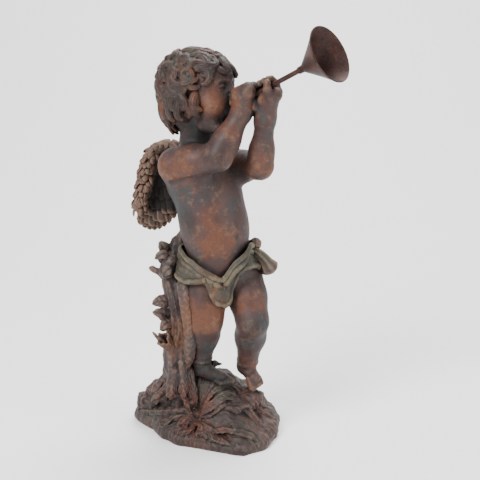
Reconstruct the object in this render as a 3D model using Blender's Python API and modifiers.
"""A cherub blowing a horn: a hollow-cast figure on a rocky base, with a sheet metal horn.

The casting is one solid: figure, wings, loincloth, tree stump and rock. Its forms are measured
in millimetres of a figure 553 high and are scaled to FIGURE_HEIGHT. The horn is a stem and a
bell, which sit in the casting's bore. Front is -Y, up is +Z, the origin lies in the underside.
"""
import math

import bmesh
import bpy
import numpy as np
from mathutils import Matrix, Vector

# Driving sizes, in metres
FIGURE_HEIGHT = 0.553
ROCK_HEIGHT = 0.105
ROCK_EDGE_HEIGHT = 0.030
BASE_WIDTH = 0.250
BASE_DEPTH = 0.236
STEM_DIAMETER = 0.0080
STEM_LENGTH = 0.159
BELL_DIAMETER = 0.092
BELL_DEPTH = 0.052
BELL_WALL = 0.0012
BELL_SLEEVE_LENGTH = 0.009
BELL_RIM_DIAMETER = 0.0026
FIT_GAP = 0.0003

# Fineness of the faceted solids
VOXEL = 0.0028
BODY_VOXEL = 4.0
CASTING_TRIANGLES = 8700
STEM_SIDES = 16
BELL_SIDES = 32

# The figure is drawn 553 units high, standing 105 units above the underside
DRAWN_HEIGHT = 553.0
DRAWN_FLOOR = 105.0
UNIT = FIGURE_HEIGHT / DRAWN_HEIGHT

# Turn of each part of the body about the vertical, in degrees from the front toward +X
PELVIS_TURN = 32.0
CHEST_TURN = 38.0
HEAD_TURN = 62.0
HEAD_LIFT = 10.0

# Joints of the figure and centres of its masses, in figure units
JOINTS = {
    "head": (-13, 0, 594), "skull_base": (-17, 4, 552), "neck": (-19, 8, 500),
    "chest": (-3, 4, 437), "ribs": (4, 1, 398), "belly": (12, -3, 358), "pelvis": (20, 5, 302),
    "shoulder_r": (-52, -24, 474), "elbow_r": (17, -63, 495), "wrist_r": (56, -50, 566),
    "fist_r": (64, -50, 587),
    "shoulder_l": (38, 42, 465), "elbow_l": (84.5, -27, 473.5), "wrist_l": (92, -48, 553),
    "fist_l": (98, -62, 588),
    "hip_r": (-6, -10, 276), "knee_r": (-6, -22, 212), "ankle_r": (-14, 4, 140),
    "heel_r": (-16, 11, 118), "ball_r": (18, -14, 108),
    "hip_l": (58, 18, 274), "knee_l": (73, -18, 210), "ankle_l": (65, 22, 128),
    "heel_l": (61, 29, 115), "ball_l": (76, 5, 101),
}
J = {name: np.array(place, float) for name, place in JOINTS.items()}
HORN_MOUTH = np.array([33.5, -25.0, 566.6])
HORN_AXIS = np.array([0.724, -0.534, 0.440])


def turned_axes(turn, lift=0.0, lean=0.0):
    """Columns are the left, back and up axes of a part turned, tipped back and leaned."""
    spin = Matrix.Rotation(math.radians(turn), 3, "Z")
    tip = Matrix.Rotation(math.radians(-lift), 3, "X")
    side = Matrix.Rotation(math.radians(lean), 3, "Y")
    return np.array(spin @ tip @ side)


def ball_cone(points, start, start_radius, end, end_radius):
    """Distance to a cone that has a ball at each end."""
    axis = end - start
    along = np.clip((points - start) @ axis / (axis @ axis), 0.0, 1.0)
    gap = np.linalg.norm(points - start - along[:, None] * axis, axis=1)
    return gap - (start_radius + along * (end_radius - start_radius))


def ellipsoid(points, centre, radii, axes):
    """Distance to an ellipsoid whose radii lie along the given axes."""
    local = (points - centre) @ axes
    shell = np.linalg.norm(local / radii, axis=1)
    slope = np.linalg.norm(local / radii ** 2, axis=1)
    return shell * (shell - 1.0) / np.maximum(slope, 1e-9)


def blend(first, second, width):
    """Smooth union of two distances."""
    share = np.clip(0.5 + 0.5 * (second - first) / width, 0.0, 1.0)
    return second + share * (first - second) - width * share * (1.0 - share)


def carve(solid, cutter, width):
    """Smooth cut of one distance by another."""
    return -blend(-solid, cutter, width)


class Form:
    """One mass of the body: a ball cone or an ellipsoid, with the width of its blend."""

    def __init__(self, blend_width, start=None, start_radius=0.0, end=None, end_radius=0.0,
                 centre=None, radii=None, axes=None):
        self.blend_width = blend_width
        self.ends = (start, start_radius, end, end_radius)
        self.egg = None if centre is None else (np.array(centre, float), np.array(radii, float), axes)

    def distance(self, points):
        if self.egg:
            return ellipsoid(points, *self.egg)
        return ball_cone(points, *self.ends)

    def seed(self):
        """A closed shell of the form, as a bmesh."""
        bm = bmesh.new()
        if self.egg:
            centre, radii, axes = self.egg
            place = Matrix.Translation(centre) @ Matrix(axes.tolist()).to_4x4()
            place = place @ Matrix.Diagonal((*radii, 1.0))
            bmesh.ops.create_uvsphere(bm, u_segments=20, v_segments=12, radius=1.0, matrix=place)
            return bm
        start, start_radius, end, end_radius = self.ends
        axis = Vector(end - start)
        turn = axis.to_track_quat("Z", "Y").to_matrix().to_4x4()
        for centre, radius in ((start, start_radius), (end, end_radius)):
            bmesh.ops.create_uvsphere(bm, u_segments=16, v_segments=10, radius=radius,
                                      matrix=Matrix.Translation(centre))
        bmesh.ops.create_cone(bm, cap_ends=True, segments=16, radius1=start_radius,
                              radius2=end_radius, depth=axis.length,
                              matrix=Matrix.Translation((start + end) / 2) @ turn)
        return bm


def bone(first, first_radius, second, second_radius, blend_width=9.0):
    """A ball cone between two named joints or places."""
    start = J[first] if isinstance(first, str) else np.array(first, float)
    end = J[second] if isinstance(second, str) else np.array(second, float)
    return Form(blend_width, start, first_radius, end, second_radius)


def mass(centre, radii, axes, blend_width=10.0):
    return Form(blend_width, centre=centre, radii=radii, axes=axes)


CHEST = turned_axes(CHEST_TURN, lift=7.0, lean=-6.0)
PELVIS = turned_axes(PELVIS_TURN, lift=-4.0)
HEAD = turned_axes(HEAD_TURN, lift=HEAD_LIFT)


def seen_from(origin, axes):
    """A function that turns (left, back, up) offsets from an origin into figure places."""
    return lambda left, back, up: origin + axes @ np.array([left, back, up], float)


on_chest = seen_from(J["chest"], CHEST)
on_pelvis = seen_from(J["pelvis"], PELVIS)
on_head = seen_from(J["head"], HEAD)


def torso_forms():
    forms = [
        mass(on_pelvis(0, 2, -2), (58, 46, 44), PELVIS, 14),
        mass(J["belly"], (58, 52, 58), CHEST, 22),
        mass(J["ribs"], (57, 48, 56), CHEST, 24),
        mass(on_chest(0, 0, -4), (57, 44, 48), CHEST, 24),
        bone("shoulder_r", 24, "shoulder_l", 24, 18),
        bone("neck", 30, "skull_base", 28, 14),
    ]
    for side in (-1, 1):
        forms.append(mass(on_pelvis(side * 24, 26, -10), (31, 30, 33), PELVIS, 8))
        forms.append(mass(on_chest(side * 26, -26, 8), (25, 17, 20), CHEST, 12))
        forms.append(mass(on_chest(side * 30, 26, 14), (24, 16, 28), CHEST, 12))
    return forms


def head_forms():
    forms = [
        mass(on_head(0, 6, 8), (51, 57, 53), HEAD, 10),
        mass(on_head(0, -20, -20), (40, 38, 39), HEAD, 14),
        mass(on_head(0, -24, 14), (42, 33, 34), HEAD, 12),
        mass(on_head(0, -16, -38), (30, 28, 22), HEAD, 12),
        mass(on_head(0, 15, 11), (56, 58, 56), HEAD, 4),
        mass(on_head(0, 38, -30), (34, 26, 30), HEAD, 8),
        bone(on_head(0, -53, 0), 4.2, on_head(0, -61, -13), 6.0, 7),
        bone(on_head(0, -40, -46), 11, on_head(0, -36, -44), 14, 10),
        mass(on_head(0, -55, -29), (9, 7, 7), HEAD, 6),
    ]
    for side in (-1, 1):
        forms.append(mass(on_head(side * 22, -32, -27), (20, 18, 19), HEAD, 10))
        forms.append(mass(on_head(side * 6, -56, -15), (4, 5, 3.6), HEAD, 4))
        forms.append(mass(on_head(side * 17, -45, 0), (9.5, 9, 8.5), HEAD, 3))
        forms.append(mass(on_head(side * 50, 2, -8), (5, 8, 12), HEAD, 4))
    return forms


def arm_forms(side):
    shoulder, elbow, wrist, fist = (f"{name}_{side}" for name in ("shoulder", "elbow", "wrist", "fist"))
    upper = J[shoulder] + 0.45 * (J[elbow] - J[shoulder])
    lower = J[elbow] + 0.34 * (J[wrist] - J[elbow])
    thick = 1.0 if side == "r" else 0.91
    return [
        bone(shoulder, 26, upper, 24.5 * thick, 20), bone(upper, 24.5 * thick, elbow, 20.5 * thick, 18),
        bone(elbow, 20 * thick, lower, 20 * thick, 18), bone(lower, 20 * thick, wrist, 15, 14),
        bone(wrist, 15, fist, 17, 6),
    ]


def leg_forms(side):
    hip, knee, ankle, heel, ball = (f"{name}_{side}" for name in ("hip", "knee", "ankle", "heel", "ball"))
    thigh = J[hip] + 0.45 * (J[knee] - J[hip])
    calf = J[knee] + 0.40 * (J[ankle] - J[knee]) + np.array([0.0, 6.0, 0.0])
    thick = 1.0 if side == "r" else 0.93
    return [
        bone(hip, 36 * thick, thigh, 33 * thick, 12), bone(thigh, 33 * thick, knee, 26.5 * thick, 16),
        bone(knee, 26.5 * thick, calf, 24.5, 16), bone(calf, 24.5, ankle, 17.5, 14),
        bone(ankle, 17.5, heel, 13.5, 7), bone(heel, 13.5, ball, 11.5, 7),
    ]


def toe_forms(side, reach, spread, fall):
    """Five toes fanned out from the ball of the foot; the big toe is on the inner side."""
    inner = 1.0 if side == "r" else -1.0
    forms = []
    for number in range(5):
        across = (number - 2.0) * -inner
        length = 15.0 - 1.5 * number
        root = J[f"ball_{side}"] + spread * across * 5.2 + fall * 3.0
        tip = root + reach * length + fall * 3.0
        forms.append(bone(root, 5.6 - 0.4 * number, tip, 5.2 - 0.45 * number, 3))
    return forms


# Rings pinched into the chubby limbs: start, end, share along, depth, width
PINCHES = (
    ("elbow_r", "wrist_r", 0.97, 2.6, 3.2), ("elbow_l", "wrist_l", 0.97, 2.6, 3.2),
    ("knee_r", "ankle_r", 0.96, 2.0, 3.4), ("knee_l", "ankle_l", 0.96, 2.0, 3.4),
    ("neck", "skull_base", 0.35, 2.0, 4.0),
)


def pinched(points, distance):
    """Presses the creases of a well-fed child into the body's distance."""
    for first, second, share, depth, width in PINCHES:
        start, axis = J[first], J[second] - J[first]
        length = np.linalg.norm(axis)
        along = (points - start) @ axis / length
        gap = np.linalg.norm(points - start - along[:, None] * axis / length, axis=1)
        near = np.exp(-((along - share * length) / width) ** 2) * (gap < 40.0)
        distance = distance + depth * near
    return distance


def face_cuts(points, distance):
    """Eye sockets beside the nose, with lids left proud, and the parting of the lips."""
    for side in (-1, 1):
        socket = ellipsoid(points, on_head(side * 17.5, -58, 1), np.array([11.0, 8.0, 7.5]), HEAD)
        distance = carve(distance, socket, 5.0)
        ball = ellipsoid(points, on_head(side * 17.5, -45.5, 0), np.array([8.6, 8.0, 6.6]), HEAD)
        distance = blend(distance, ball, 1.2)
    parting = ball_cone(points, on_head(-7, -61, -29), 1.2, on_head(7, -61, -29), 1.2)
    return carve(distance, parting, 2.0)


def body_distance(points):
    trunk = np.full(len(points), 1e3)
    for form in TORSO:
        trunk = blend(trunk, form.distance(points), form.blend_width)
    head = np.full(len(points), 1e3)
    for form in HEAD_MASSES:
        head = blend(head, form.distance(points), form.blend_width)
    head = face_cuts(points, head)
    whole = blend(trunk, head, 9.0)
    for limb in LIMBS:
        part = trunk
        for form in limb:
            part = blend(part, form.distance(points), form.blend_width)
        whole = blend(whole, part, 1.5)
    cleft_start, cleft_end = on_pelvis(0, 60, 6), on_pelvis(0, 52, -40)
    whole = carve(whole, ball_cone(points, cleft_start, 4.0, cleft_end, 5.0), 5.0)
    navel = ball_cone(points, NAVEL, 3.0, NAVEL + CHEST @ np.array([0, -6.0, 0]), 3.5)
    return pinched(points, carve(whole, navel, 4.0))


TORSO = torso_forms()
HEAD_MASSES = head_forms()
LIMBS = (
    arm_forms("r"), arm_forms("l"),
    leg_forms("r") + toe_forms("r", np.array([0.82, -0.56, -0.1]), np.array([0.56, 0.82, 0.0]),
                               np.array([0.0, 0.0, -0.6])),
    leg_forms("l") + toe_forms("l", np.array([0.4, -0.62, -0.68]), np.array([0.84, 0.53, 0.0]),
                               np.array([0.0, 0.0, -0.3])),
)
NAVEL = J["belly"] + CHEST @ np.array([0.0, -50.0, -12.0])


def placed(points):
    """Figure places, in figure units, turned into metres over the underside."""
    return points * UNIT + np.array([0.0, 0.0, ROCK_HEIGHT - DRAWN_FLOOR * UNIT])


class Path:
    """A smooth line through a few points."""

    def __init__(self, points, samples=48):
        points = [Vector(point) for point in points]
        points = [2 * points[0] - points[1]] + points + [2 * points[-1] - points[-2]]
        line = []
        for first, second, third, fourth in zip(points, points[1:], points[2:], points[3:]):
            for step in range(samples):
                part = step / samples
                line.append(0.5 * (2 * second + (third - first) * part
                                   + (2 * first - 5 * second + 4 * third - fourth) * part ** 2
                                   + (3 * second - first - 3 * third + fourth) * part ** 3))
        line.append(points[-2])
        self.line = np.array(line)
        steps = np.linalg.norm(np.diff(self.line, axis=0), axis=1)
        self.travel = np.concatenate(([0.0], np.cumsum(steps))) / steps.sum()

    def at(self, along):
        return np.stack([np.interp(along, self.travel, self.line[:, axis]) for axis in range(3)], axis=1)

    def heading(self, along):
        step = self.at(np.minimum(along + 0.02, 1.0)) - self.at(np.maximum(along - 0.02, 0.0))
        return step / np.linalg.norm(step, axis=1)[:, None]


def added(bm, piece):
    """Adds a small bmesh to a large one, which is quicker than growing the large one."""
    mesh = bpy.data.meshes.new("piece")
    piece.to_mesh(mesh)
    piece.free()
    bm.from_mesh(mesh)
    bpy.data.meshes.remove(mesh)


def bent_ball(bm, shape, sides, rings):
    """Adds a ball whose points, given by share along and angle around, are moved by shape."""
    ball = bmesh.new()
    bmesh.ops.create_uvsphere(ball, u_segments=sides, v_segments=rings, radius=1.0)
    points = np.array([vert.co[:] for vert in ball.verts])
    along = np.arccos(np.clip(points[:, 2], -1.0, 1.0)) / math.pi
    around = np.arctan2(points[:, 1], points[:, 0])
    for vert, point in zip(ball.verts, shape(along, around)):
        vert.co = point
    added(bm, ball)


def strand(bm, points, radius, outward, flat=1.0, tip=0.35, grooves=0, depth=0.0, sides=10, rings=12):
    """A lock, feather, finger, root or twig: a ball stretched along a smooth line."""
    path = Path(points)
    radii = np.atleast_1d(radius)
    outward = np.array(outward, float)

    def shape(along, around):
        ahead = path.heading(along)
        across = np.cross(ahead, outward)
        across /= np.maximum(np.linalg.norm(across, axis=1), 1e-6)[:, None]
        up = np.cross(across, ahead)
        swell = np.minimum(np.sin(math.pi * along) / 0.5, 1.0) ** 0.6
        swell = swell * (1.0 + (tip - 1.0) * along) * (1.0 + depth * np.cos(grooves * around))
        size = np.interp(along * (len(radii) - 1), np.arange(len(radii)), radii)
        swell = (size * swell)[:, None]
        return path.at(along) + swell * (np.cos(around)[:, None] * across
                                         + flat * np.sin(around)[:, None] * up)

    bent_ball(bm, shape, sides, rings)


def mesh_object(name, bm, collection):
    """Turns a bmesh into an object."""
    mesh = bpy.data.meshes.new(name)
    bm.to_mesh(mesh)
    bm.free()
    made = bpy.data.objects.new(name, mesh)
    collection.objects.link(made)
    return made


def applied(source):
    """Replaces an object's mesh by what its modifiers make of it."""
    graph = bpy.context.evaluated_depsgraph_get()
    mesh = bpy.data.meshes.new_from_object(source.evaluated_get(graph))
    source.modifiers.clear()
    source.data = mesh
    return source


def fused(source, voxel):
    """Fuses the overlapping shells of an object into one skin."""
    remesh = source.modifiers.new("fuse", "REMESH")
    remesh.mode = "VOXEL"
    remesh.voxel_size = voxel
    remesh.adaptivity = 0.0
    return applied(source)


def coordinates(mesh):
    flat = np.empty(len(mesh.vertices) * 3, np.float32)
    mesh.vertices.foreach_get("co", flat)
    return flat.reshape(-1, 3).astype(float)


def normals(mesh):
    flat = np.empty(len(mesh.vertices) * 3, np.float32)
    mesh.vertices.foreach_get("normal", flat)
    return flat.reshape(-1, 3).astype(float)


def set_coordinates(mesh, points):
    mesh.vertices.foreach_set("co", points.astype(np.float32).ravel())
    mesh.update()


def body_object(collection, voxel):
    """The bare figure: its seeds fused, then drawn onto the smooth body surface."""
    bm = bmesh.new()
    for form in TORSO + HEAD_MASSES + [form for limb in LIMBS for form in limb]:
        added(bm, form.seed())
    body = fused(mesh_object("body", bm, collection), voxel)
    for _ in range(6):
        points = coordinates(body.data)
        reach = np.clip(body_distance(points), -6.0, 6.0)
        set_coordinates(body.data, points - normals(body.data) * reach[:, None])
    return body


# Hair: wavy locks in rings about the crown, rolled curls along the hairline, locks on the nape
CROWN = np.array([0.0, 0.50, 0.866])
CROWN_SIDE = np.array([1.0, 0.0, 0.0])
CROWN_FRONT = np.array([0.0, -0.866, 0.50])
SCALP = np.array([53.0, 57.0, 55.0])
SCALP_CENTRE = np.array([0.0, 6.0, 9.0])
FOREHEAD_REACH = 9.0
LOCK_RINGS = 6
LOCK_RADIUS = 8.6
LOCK_SPACING = 16.5
LOCK_REACH = 0.62
NAPE_LOCKS = 5
# Rolled curls: direction from the middle of the head as left, back, up; size and hand
CURLS = (
    (0.06, -0.92, 0.72, 11.5, 1), (0.42, -0.94, 0.56, 13.0, -1), (-0.38, -0.84, 0.66, 11.0, -1),
    (0.74, -0.76, 0.26, 12.5, 1), (-0.72, -0.62, 0.46, 12.0, 1), (0.92, -0.40, 0.10, 9.5, -1),
    (-0.92, -0.38, 0.22, 12.5, -1), (-1.00, -0.12, -0.06, 10.5, 1), (1.00, -0.12, -0.10, 9.5, 1),
    (0.26, -0.66, 0.96, 10.5, -1), (-0.28, -0.58, 1.00, 11.5, 1), (-0.72, -0.28, 0.80, 11.5, -1),
    (0.72, -0.30, 0.78, 10.5, 1), (-0.60, 0.62, 0.72, 10.0, 1), (0.55, 0.66, 0.70, 10.0, -1),
)


def has_hair(place):
    """Whether a direction on the head, as left, back and up, lies on the scalp."""
    left, back, up = place
    front = -back
    if front > 0.25:
        return up > 0.45 - 0.25 * abs(left)
    if front > -0.1:
        return up > -0.30
    return up > -0.35 - 0.75 * back


def on_scalp(place, lift):
    """Figure place at a lift over the scalp; the forehead reaches further out than the rest."""
    forehead = np.array([0.0, -FOREHEAD_REACH * max(-place[1], 0.0) ** 2, 0.0])
    return on_head(*(SCALP * place * lift + SCALP_CENTRE + forehead))


def curl(bm, place, size, hand):
    """A lock rolled up into a snail on the scalp."""
    outward = place / np.linalg.norm(place)
    side = np.cross(outward, (0.1, 0.2, 1.0))
    side /= np.linalg.norm(side)
    up = np.cross(side, outward)
    line = []
    for step in range(10):
        angle = hand * (0.6 + 5.4 * step / 9.0)
        reach = size * (1.0 - 0.085 * step)
        offset = reach * (math.cos(angle) * side + math.sin(angle) * up) + outward * (0.45 * step - 2.0)
        line.append(on_scalp(outward, 1.08) + HEAD @ offset)
    strand(bm, line, size * 0.52, HEAD @ outward, flat=0.9, tip=0.55, grooves=2, depth=0.1, rings=18)


def hair(bm):
    for ring in range(LOCK_RINGS):
        start = 0.20 + 0.37 * ring
        count = max(5, round(2.0 * math.pi * math.sin(start) * SCALP[0] / LOCK_SPACING))
        for number in range(count):
            turn = 2.0 * math.pi * (number + 0.5 * (ring % 2)) / count + 0.2 * math.sin(number * 2.7 + ring)
            hand = 1.0 if (number + ring) % 3 else -1.0
            line, places = [], []
            for step in range(7):
                along = step / 6.0
                polar = start + LOCK_REACH * along
                sway = hand * 0.16 * math.sin(2.0 * math.pi * 0.85 * along + number)
                bearing = turn + sway / math.sin(polar)
                spot = CROWN * math.cos(polar) + math.sin(polar) * (
                    CROWN_FRONT * math.cos(bearing) + CROWN_SIDE * math.sin(bearing))
                lift = 0.98 + 0.15 * math.sin(math.pi * along) + 0.07 * max(along - 0.6, 0.0) / 0.4
                lift += 0.03 * math.sin(number * 2.3 + ring)
                places.append(spot)
                line.append(on_scalp(spot, lift))
            if has_hair(places[2]):
                strand(bm, line, LOCK_RADIUS, HEAD @ places[3], flat=0.7, tip=0.6, grooves=3, depth=0.13)
    for left, back, up, size, hand in CURLS:
        curl(bm, np.array([left, back, up]), size, hand)
    for number in range(NAPE_LOCKS):
        side = 13.0 * (number - (NAPE_LOCKS - 1) / 2.0)
        drop = 4.0 * abs(side) / 13.0
        wave = 4.0 if number % 2 else -4.0
        line = [on_head(side, 54, 2), on_head(side + wave, 65, -24), on_head(side - wave, 65 - drop, -46),
                on_head(side * 0.8, 55 - drop, -75 + drop)]
        strand(bm, line, 9.5, HEAD @ np.array([0.0, 1.0, -0.2]), flat=0.8, tip=0.55, grooves=3, depth=0.13)


# Wings: a thick leading edge, long feathers hanging from it and rows of small ones over it
WING_ROOT = np.array([-46.0, 37.0, 484.0])
WING_OUT = np.array([-0.955, 0.297, 0.0])
WING_BACK = np.array([0.297, 0.955, 0.0])
WING_EDGE = ((-16, -10, -8), (2, 0, 8), (24, 4, 16), (45, -2, 6), (56, -6, -20), (63, -8, -52),
             (73, -6, -86), (80, -2, -115))
WING_LOWEST = 46.0
LONG_FEATHERS = 8
FEATHER_TILT = math.radians(32.0)
SMALL_ROWS = 5
BACK_ROWS = 3


def wing_frames():
    """Origin and out, back, up axes of the right and left wing."""
    left = CHEST[:, 0] * np.array([1.0, 1.0, 0.0])
    left /= np.linalg.norm(left)

    def mirrored(vector):
        return vector - 2.0 * (vector @ left) * left

    up = np.array([0.0, 0.0, 1.0])
    origin = np.array([J["chest"][0], J["chest"][1], 0.0])
    yield WING_ROOT, WING_OUT, WING_BACK, up
    yield origin + mirrored(WING_ROOT - origin), mirrored(WING_OUT), mirrored(WING_BACK), up


def wing(bm, root, out, back, up):
    def at(place):
        return root + out * place[0] + back * place[1] + up * place[2]

    edge = Path([at(place) for place in WING_EDGE])
    strand(bm, [at(place) for place in WING_EDGE], 10.5, out, flat=1.1, tip=0.75, rings=20)
    for number in range(LONG_FEATHERS):
        share = number / (LONG_FEATHERS - 1.0)
        start = edge.at(np.array([0.30 + 0.58 * share]))[0]
        low = WING_LOWEST * math.sin(math.pi * (0.10 + 0.60 * share))
        tip = at((13.0 + 69.0 * share, 12.0 + 8.0 * (1.0 - share), -91.0 - low))
        middle = (start + tip) / 2.0 + back * 13.0
        tilted = back * math.cos(FEATHER_TILT) + out * math.sin(FEATHER_TILT)
        strand(bm, [start, middle, tip], 10.0, tilted, flat=0.34, tip=1.0, rings=14)
        for row in range(BACK_ROWS):
            place = 0.12 + 0.21 * row + 0.04 * (number % 2)
            lifts = np.array([[1.0], [7.0 - row], [5.0 - row]])
            ends = Path([start, middle, tip]).at(place + np.array([0.0, 0.16, 0.30])) + back * lifts
            strand(bm, list(ends), 8.2, tilted, flat=0.36, tip=1.0, sides=8, rings=8)
    for row in range(SMALL_ROWS):
        count = 13 - row
        for number in range(count):
            share = 0.22 + 0.74 * (number + 0.5 * (row % 2)) / count
            start = edge.at(np.array([share]))[0]
            ahead = edge.heading(np.array([share]))[0]
            side = np.cross(ahead, out)
            swing = math.radians(-50.0 + 50.0 * row)
            away = out * math.cos(swing) + np.cross(out, ahead) * math.sin(swing)
            root_place = start + away * 8.5 - ahead * 5.0
            tip_place = start + away * 12.0 + ahead * 11.0
            strand(bm, [root_place, (root_place + tip_place) / 2 + away * 2.0, tip_place], 6.6,
                   away, flat=0.5, tip=0.9, sides=8, rings=8)


# Loincloth: a band wrapped round the hips, with a flap that hangs between the legs
CLOTH_TURNS = 96
CLOTH_RINGS = 22
CLOTH_THICKNESS = 4.0
KNOT_TURN = 75.0
KNOT_PLACE = on_pelvis(54, -20, 22)


def cloth_edges(turn):
    """Upper and lower edge heights of the loincloth at a turn from the front, in degrees."""
    upper = np.interp(turn, [-180, -90, -50, -10, 20, 60, 90, 180], [326, 328, 312, 290, 284, 308, 332, 326])
    lower = np.interp(turn, [-180, -100, -60, -34, -22, -8, 8, 22, 34, 50, 80, 120, 180],
                      [262, 266, 276, 270, 250, 239, 238, 250, 272, 284, 296, 276, 262])
    return upper, lower


def hip_radius(turn, height):
    """How far the hips reach from their axis, found by stepping in from outside."""
    heading = np.stack([np.sin(turn), -np.cos(turn), np.zeros_like(turn)], axis=1)
    axis = J["pelvis"] + np.stack([(298.0 - height) * 0.06, np.zeros_like(height), height - 298.0], axis=1)
    reach = np.full(len(turn), 130.0)
    for _ in range(40):
        points = axis + heading * reach[:, None]
        gap = np.full(len(points), 1e3)
        for form in CLOTH_CARRIERS:
            gap = blend(gap, form.distance(points), 22.0)
        reach -= np.maximum(gap, 0.02) * 0.9
    return axis, heading, reach


def loincloth(bm):
    cloth = bmesh.new()
    bmesh.ops.create_grid(cloth, x_segments=CLOTH_TURNS, y_segments=CLOTH_RINGS, size=0.5)
    flat = np.array([vert.co[:] for vert in cloth.verts])
    turn_degrees = flat[:, 0] * 360.0
    down = flat[:, 1] + 0.5
    upper, lower = cloth_edges(turn_degrees)
    height = upper + (lower - upper) * down
    axis, heading, reach = hip_radius(np.radians(turn_degrees), height)
    roll = 3.5 * np.exp(-(down / 0.16) ** 2)
    from_knot = 1.0 - np.cos(np.radians(turn_degrees - KNOT_TURN))
    folds = 2.2 * np.sin(17.0 * down + 5.0 * from_knot) * np.clip(down * 3.0, 0.0, 1.0)
    flare = 5.0 * down ** 2
    points = axis + heading * (reach + 2.5 + roll + folds + flare)[:, None]
    for vert, point in zip(cloth.verts, points):
        vert.co = point
    bmesh.ops.remove_doubles(cloth, verts=cloth.verts[:], dist=0.05)
    bmesh.ops.solidify(cloth, geom=cloth.faces[:], thickness=CLOTH_THICKNESS)
    added(bm, cloth)


def knot(bm):
    """The tie on the left hip: a knob above and two ends, one rolled into an open tube."""
    knob = KNOT_PLACE + (1, 3, 14)
    for turn in (-40.0, 20.0, 80.0):
        lean = 7.0 * np.array([math.cos(math.radians(turn)), 0.0, math.sin(math.radians(turn))])
        strand(bm, [knob - lean, knob + (0, -6, 0), knob + lean], 9.5, (0, -1, 0.3), tip=0.9)
    strand(bm, [KNOT_PLACE + (-16, 0, 8), KNOT_PLACE + (0, -6, 0), KNOT_PLACE + (14, -8, -12),
                KNOT_PLACE + (35, -10, -41)],
           (9.0, 8.5, 12.0, 19.0), (0, -1, 0), flat=0.85, tip=1.15, grooves=4, depth=0.1, sides=16)
    strand(bm, [KNOT_PLACE + (-8, -4, 2), KNOT_PLACE + (3, -10, -12), KNOT_PLACE + (8, -11, -30)],
           9.5, (0, -1, 0), flat=0.5, tip=0.8)


# Tree stump behind the right leg
STUMP_LINE = ((-56, 10, 78), (-55, 9, 140), (-52, 11, 186), (-57, 13, 230), (-65, 15, 284),
              (-67, 18, 306))
STUMP_ROOTS = (
    (((-58, 4, 128), (-70, -2, 90), (-102, -4, 60)), 9.0),
    (((-48, -4, 146), (-46, -14, 110), (-42, -34, 80)), 12.0),
    (((-58, -8, 130), (-62, -20, 100), (-66, -34, 74)), 11.0),
    (((-58, 14, 126), (-80, 30, 88), (-104, 44, 60)), 11.5),
    (((-44, 2, 136), (-36, -16, 98), (-24, -34, 56)), 7.0),
    (((-52, -2, 130), (-46, -22, 88), (-28, -38, 50)), 6.0),
    (((-36, 6, 126), (-28, -12, 98), (-20, -32, 58)), 6.0),
)
# Lobes, twigs and a broken branch: centre lines and radii
STUMP_BRANCHES = (
    (((-62, 28, 298), (-60, 36, 322), (-54, 38, 346)), 12.0),
    (((-48, 26, 296), (-48, 32, 326), (-47, 32, 356)), 13.0),
    (((-62, 28, 304), (-72, 34, 324), (-84, 34, 334)), 9.0),
    (((-70, 8, 284), (-64, 0, 304), (-56, -4, 318)), 13.0),
    (((-66, 10, 292), (-78, 10, 306), (-90, 12, 320)), 7.0),
    (((-68, 12, 276), (-86, 8, 290), (-102, 8, 297)), 8.5),
    (((-60, 4, 158), (-74, -4, 164), (-83, -8, 178)), 13.0),
    (((-74, -8, 170), (-88, -12, 182), (-97, -12, 192)), 4.0),
)
# Leaves: root, tip and half width
STUMP_LEAVES = (
    ((-66, 6, 236), (-99, -2, 234), 12.0), ((-66, 4, 208), (-98, -6, 222), 12.0),
    ((-64, 0, 204), (-84, -10, 190), 10.0), ((-62, 4, 194), (-83, -8, 188), 9.0),
    ((-60, -10, 300), (-78, -10, 284), 9.0), ((-24, 18, 124), (0, 16, 142), 8.0),
    ((-10, 18, 114), (22, 14, 124), 9.0),
)
STUMP_WIDTH = (30, 24, 23, 17, 16.5, 18.0)


def stump(bm):
    strand(bm, STUMP_LINE, STUMP_WIDTH, (0, -1, 0), tip=1.0, grooves=7, depth=0.12, sides=28, rings=32)
    for line, radius in STUMP_ROOTS + STUMP_BRANCHES:
        strand(bm, line, radius, (0, -1, 0.4), tip=0.6, grooves=3, depth=0.12)
    for start, end, radius in STUMP_LEAVES:
        middle = (np.array(start) + np.array(end)) / 2 + np.array([0, -5, 5])
        strand(bm, [start, middle, end], radius, (0, -1, 0.4), flat=0.45, tip=0.6)


# Rock: a low mound with roots running over it, in metres
ROOT_COUNT = 26
FAN_CENTRE = np.array([-0.022, -0.034])
# Angles in the plan, in degrees, between which no root runs, because the feet stand there
FOOTHOLD = (20.0, 160.0)
ROOT_RADIUS = 0.0068
ROCK_CENTRE = np.array([-0.005, 0.028])
# Plan of the rock: corners as shares of half its width and depth, front first, going right
ROCK_PLAN = ((0.50, -1.02), (0.74, -0.82), (0.90, -0.42), (0.965, 0.02), (0.94, 0.45), (0.68, 0.80),
             (0.25, 0.97), (-0.22, 1.0), (-0.66, 0.90), (-0.97, 0.68), (-1.02, 0.36), (-0.76, -0.06),
             (-0.55, -0.48), (-0.38, -0.66), (-0.08, -0.76), (0.26, -0.92))
UNDERCUT = 0.05
TOP_SHARE = 0.62
WALL_SHARE = 0.18
ROCK_SUNK = 0.006
UNDERCUT_TURN = math.radians(195.0)


def rock_edge(turn):
    """Outline of the rock at an angle in its plan, as a share of its half width and depth."""
    plan = np.array(ROCK_PLAN)
    angles = np.arctan2(plan[:, 1], plan[:, 0])
    order = np.argsort(angles)
    reach = np.hypot(plan[:, 0], plan[:, 1])[order]
    return np.interp(turn, angles[order], reach, period=2.0 * math.pi) * (1.0 + 0.012 * np.sin(14.0 * turn))


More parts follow.
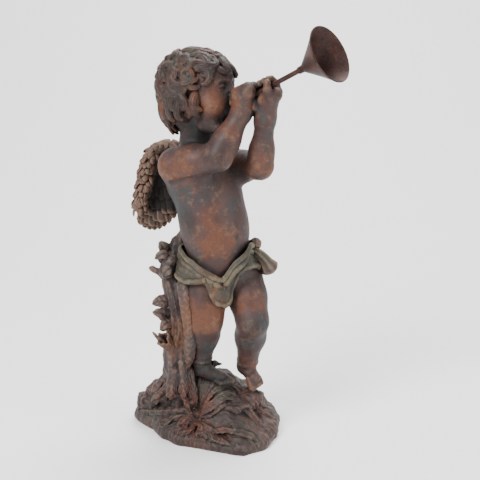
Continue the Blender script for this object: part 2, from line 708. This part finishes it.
def rock_height(share, turn):
    """Height of the rock's top at a share of the way out to its edge."""
    slope = np.clip((share - 0.18) / 0.76, 0.0, 1.0)
    slope = 1.0 - slope * slope * (3.0 - 2.0 * slope)
    edge = ROCK_EDGE_HEIGHT * (1.0 + 0.18 * np.sin(2.0 * turn + 1.0))
    return edge + (ROCK_HEIGHT - edge) * slope


def on_rock(share, turn):
    """Place on the rock's top at a share of the way out and an angle in its plan."""
    reach = share * rock_edge(turn)
    return np.stack([ROCK_CENTRE[0] + reach * np.cos(turn) * BASE_WIDTH / 2,
                     ROCK_CENTRE[1] + reach * np.sin(turn) * BASE_DEPTH / 2,
                     rock_height(share, turn)], axis=-1)


def rock(bm):
    """The mound, with its ground cut off later, and the roots that fan out over it."""
    def shape(along, around):
        top = np.clip(along / TOP_SHARE, 0.0, 1.0)
        under = np.clip((along - TOP_SHARE - WALL_SHARE) / (1.0 - TOP_SHARE - WALL_SHARE), 0.0, 1.0)
        side = np.clip((along - TOP_SHARE) / WALL_SHARE, 0.0, 1.0)
        tuck = UNDERCUT * side * np.maximum(np.cos(around - UNDERCUT_TURN), 0.0)
        points = on_rock(top * (1.0 - under) * (1.0 + 0.03 * np.sin(math.pi * side) - tuck), around)
        edge = rock_height(np.ones_like(around), around)
        points[:, 2] = np.where(along < TOP_SHARE, points[:, 2], edge - (ROCK_SUNK + edge) * side)
        return points

    bent_ball(bm, shape, 72, 48)
    for number in range(ROOT_COUNT):
        turn = 2.0 * math.pi * number / ROOT_COUNT + 0.13 * math.sin(number * 1.7)
        if FOOTHOLD[0] < math.degrees(turn) < FOOTHOLD[1]:
            continue
        line = []
        for step in range(6):
            out = step / 5.0
            bend = turn + 0.14 * math.sin(out * 5.0 + number)
            rim = on_rock(0.99, bend)
            spot = (1.0 - out) * np.append(FAN_CENTRE, ROCK_HEIGHT) + out * rim
            away = spot[:2] - ROCK_CENTRE
            angle = math.atan2(away[1] / BASE_DEPTH, away[0] / BASE_WIDTH)
            share = math.hypot(away[0] / BASE_WIDTH * 2, away[1] / BASE_DEPTH * 2) / rock_edge(angle)
            line.append((spot[0], spot[1], float(rock_height(min(share, 1.0), angle)) + 0.001))
        radii = ROOT_RADIUS * np.array([0.45, 0.8, 1.1, 1.2, 0.9]) * (1.0 + 0.25 * math.sin(number * 2.1))
        strand(bm, line, radii, (0, 0, 1), flat=0.8, tip=0.8, grooves=3, depth=0.12, sides=12, rings=18)


# Slabs that break the slope of the rock: middle, half sizes, turn and lean in degrees
SLABS = (
    ((0.061, 0.006, 0.063), (0.036, 0.030, 0.020), 20, 4),
    ((0.070, 0.046, 0.035), (0.030, 0.036, 0.016), -35, 8),
    ((0.046, -0.024, 0.062), (0.030, 0.018, 0.012), 30, 10),
    ((-0.106, 0.070, 0.036), (0.026, 0.036, 0.020), 20, -10),
    ((-0.076, 0.066, 0.052), (0.040, 0.042, 0.022), 60, 8),
    ((0.030, 0.088, 0.052), (0.054, 0.038, 0.022), -10, -8),
    ((-0.030, 0.100, 0.044), (0.040, 0.030, 0.018), 25, 10),
)


def boulders(bm):
    """Angular slabs that break the slope of the rock, under the left foot and at its edges."""
    for place, radii, turn, lean in SLABS:
        slab = bmesh.new()
        spot = Matrix.Translation(place) @ Matrix.Rotation(math.radians(turn), 4, "Z")
        spot = spot @ Matrix.Rotation(math.radians(lean), 4, "X")
        bmesh.ops.create_icosphere(slab, subdivisions=1, radius=1.12,
                                   matrix=spot @ Matrix.Diagonal((*radii, 1.0)))
        bmesh.ops.bevel(slab, geom=slab.edges[:], offset=min(radii) * 0.22, offset_type="OFFSET",
                        segments=1, profile=0.5, affect="EDGES", material=-1)
        added(bm, slab)


def fingers(bm):
    """Closed right hand over the stem, and left hand open under it."""
    axis = HORN_AXIS
    up = np.array([0.0, 0.0, 1.0]) - axis * axis[2]
    up /= np.linalg.norm(up)
    toward = np.cross(axis, up)
    for number in range(4):
        spot = HORN_MOUTH + axis * (30.0 + 9.5 * number)
        line = []
        for step in range(6):
            angle = math.radians(-60.0 + 42.0 * step)
            line.append(spot + 11.5 * (up * math.sin(angle) + toward * math.cos(angle)))
        strand(bm, line, 6.2, axis, tip=0.85)
    strand(bm, [J["fist_r"] + (-8, 2, -6), HORN_MOUTH + axis * 30.0 - up * 6.0 - toward * 8.0,
                HORN_MOUTH + axis * 44.0 + up * 3.0 - toward * 12.0], 7.0, -toward, tip=0.8)
    for number in range(4):
        spot = HORN_MOUTH + axis * (68.0 + 8.5 * number)
        line = [J["fist_l"] + (-4.0 + 3.0 * number, 2.0, 2.0), spot - up * 9.0 - toward * 8.0,
                spot - toward * 12.0, spot + up * 9.0 - toward * 6.0]
        strand(bm, line, 5.6, axis, tip=0.85)
    strand(bm, [J["fist_l"] + (-6, -6, -4), HORN_MOUTH + axis * 66.0 - up * 10.0 + toward * 7.0,
                HORN_MOUTH + axis * 70.0 + up * 2.0 + toward * 12.0], 6.0, toward, tip=0.8)


def joined(name, objects):
    """One object that holds the meshes of several, still as separate shells."""
    bm = bmesh.new()
    for source in objects:
        bm.from_mesh(source.data)
        bpy.data.objects.remove(source)
    return mesh_object(name, bm, FIGURE_COLLECTION)


def cut(target, cutter):
    boolean = target.modifiers.new("cut", "BOOLEAN")
    boolean.operation = "DIFFERENCE"
    boolean.solver = "EXACT"
    boolean.object = cutter
    return boolean


def cylinder_along(name, start, axis, length, radius, sides, collection):
    bm = bmesh.new()
    turn = Vector(axis).to_track_quat("Z", "Y").to_matrix().to_4x4()
    middle = Vector(start) + Vector(axis) * length / 2
    bmesh.ops.create_cone(bm, cap_ends=True, segments=sides, radius1=radius, radius2=radius,
                          depth=length, matrix=Matrix.Translation(middle) @ turn)
    return mesh_object(name, bm, collection)


def material(name, colour, roughness, metallic):
    made = bpy.data.materials.new(name)
    made.use_nodes = True
    shader = made.node_tree.nodes["Principled BSDF"]
    shader.inputs["Base Color"].default_value = (*colour, 1.0)
    shader.inputs["Roughness"].default_value = roughness
    shader.inputs["Metallic"].default_value = metallic
    made.diffuse_color = (*colour, 1.0)
    return made


def casting():
    """The statue itself: every carved form fused into one solid, cut flat, bored for the horn."""
    figure = body_object(FIGURE_COLLECTION, BODY_VOXEL)
    details = bmesh.new()
    hair(details)
    for root, out, back, up in wing_frames():
        wing(details, root, out, back, up)
    loincloth(details)
    knot(details)
    stump(details)
    fingers(details)
    details = mesh_object("details", details, FIGURE_COLLECTION)
    for source in (figure, details):
        set_coordinates(source.data, placed(coordinates(source.data)))
    base = bmesh.new()
    rock(base)
    boulders(base)
    base = mesh_object("base", base, FIGURE_COLLECTION)
    statue = fused(joined("cherub_casting", (figure, details, base)), VOXEL)
    reduce = statue.modifiers.new("facets", "DECIMATE")
    reduce.ratio = CASTING_TRIANGLES / (2.0 * len(statue.data.polygons))
    applied(statue)
    bm = bmesh.new()
    bmesh.ops.create_cube(bm, size=1.0, matrix=Matrix.Translation((0, 0, -0.5)))
    ground = mesh_object("ground_cutter", bm, CUTTERS)
    bore = cylinder_along("bore_cutter", STEM_START - STEM_AXIS * FIT_GAP, STEM_AXIS,
                          STEM_LENGTH, STEM_DIAMETER / 2 + FIT_GAP, STEM_SIDES, CUTTERS)
    for cutter in (ground, bore):
        cutter.hide_render = True
        cutter.display_type = "WIRE"
        cut(statue, cutter)
    statue.data.materials.append(material("patina", (0.17, 0.125, 0.10), 0.55, 0.15))
    return statue


def horn():
    """The horn's stem and its bell, whose sleeve fits over the stem's end."""
    stem = cylinder_along("horn_stem", STEM_START, STEM_AXIS, STEM_LENGTH, STEM_DIAMETER / 2,
                          STEM_SIDES, FIGURE_COLLECTION)
    stem.data.materials.append(material("stem_metal", (0.10, 0.07, 0.06), 0.5, 0.6))
    stem.data.shade_smooth()
    stem.data.set_sharp_from_angle(angle=math.radians(40))
    sleeve = STEM_DIAMETER / 2 + FIT_GAP
    rim = BELL_DIAMETER / 2 - BELL_RIM_DIAMETER / 2
    wall = BELL_WALL
    outer = [(sleeve + wall, 0.0), (sleeve + wall, BELL_SLEEVE_LENGTH)]
    curve = [(0.02, 0.05), (0.50, 0.52)]
    for out, along in curve:
        outer.append((sleeve + wall + out * (rim - sleeve - wall), BELL_SLEEVE_LENGTH + along * BELL_DEPTH))
    end = BELL_SLEEVE_LENGTH + BELL_DEPTH
    bead = BELL_RIM_DIAMETER / 2
    for step in range(5):
        angle = math.radians(-70.0 + 220.0 * step / 4.0)
        outer.append((rim + bead * math.cos(angle), end + bead * math.sin(angle)))
    inner = [(radius - wall, along + wall * 0.35) for radius, along in reversed(outer[2:4])]
    profile = outer + inner + [(sleeve, BELL_SLEEVE_LENGTH), (sleeve, 0.0)]
    bm = bmesh.new()
    ring = [bm.verts.new((radius, 0.0, along)) for radius, along in profile]
    edges = [bm.edges.new(pair) for pair in zip(ring, ring[1:] + ring[:1])]
    bmesh.ops.spin(bm, geom=ring + edges, cent=(0, 0, 0), axis=(0, 0, 1), angle=math.tau,
                   steps=BELL_SIDES, use_merge=True)
    bmesh.ops.recalc_face_normals(bm, faces=bm.faces[:])
    turn = Vector(STEM_AXIS).to_track_quat("Z", "Y").to_matrix().to_4x4()
    seat = STEM_START + STEM_AXIS * (STEM_LENGTH - BELL_SLEEVE_LENGTH)
    bm.transform(Matrix.Translation(seat) @ turn)
    bell = mesh_object("horn_bell", bm, FIGURE_COLLECTION)
    bell.data.shade_smooth()
    bell.data.set_sharp_from_angle(angle=math.radians(40))
    bell.data.materials.append(material("bell_metal", (0.11, 0.075, 0.065), 0.5, 0.6))
    return stem, bell


CLOTH_CARRIERS = [form for form in TORSO[:2]] + TORSO[5:6] + TORSO[8:9] + LIMBS[2][:2] + LIMBS[3][:2]
STEM_AXIS = HORN_AXIS / np.linalg.norm(HORN_AXIS)
STEM_START = placed(HORN_MOUTH)
for leftover in list(bpy.data.objects):
    bpy.data.objects.remove(leftover)
FIGURE_COLLECTION = bpy.data.collections.new("cherub_with_horn")
CUTTERS = bpy.data.collections.new("cutters")
for group in (FIGURE_COLLECTION, CUTTERS):
    bpy.context.scene.collection.children.link(group)
casting()
horn()
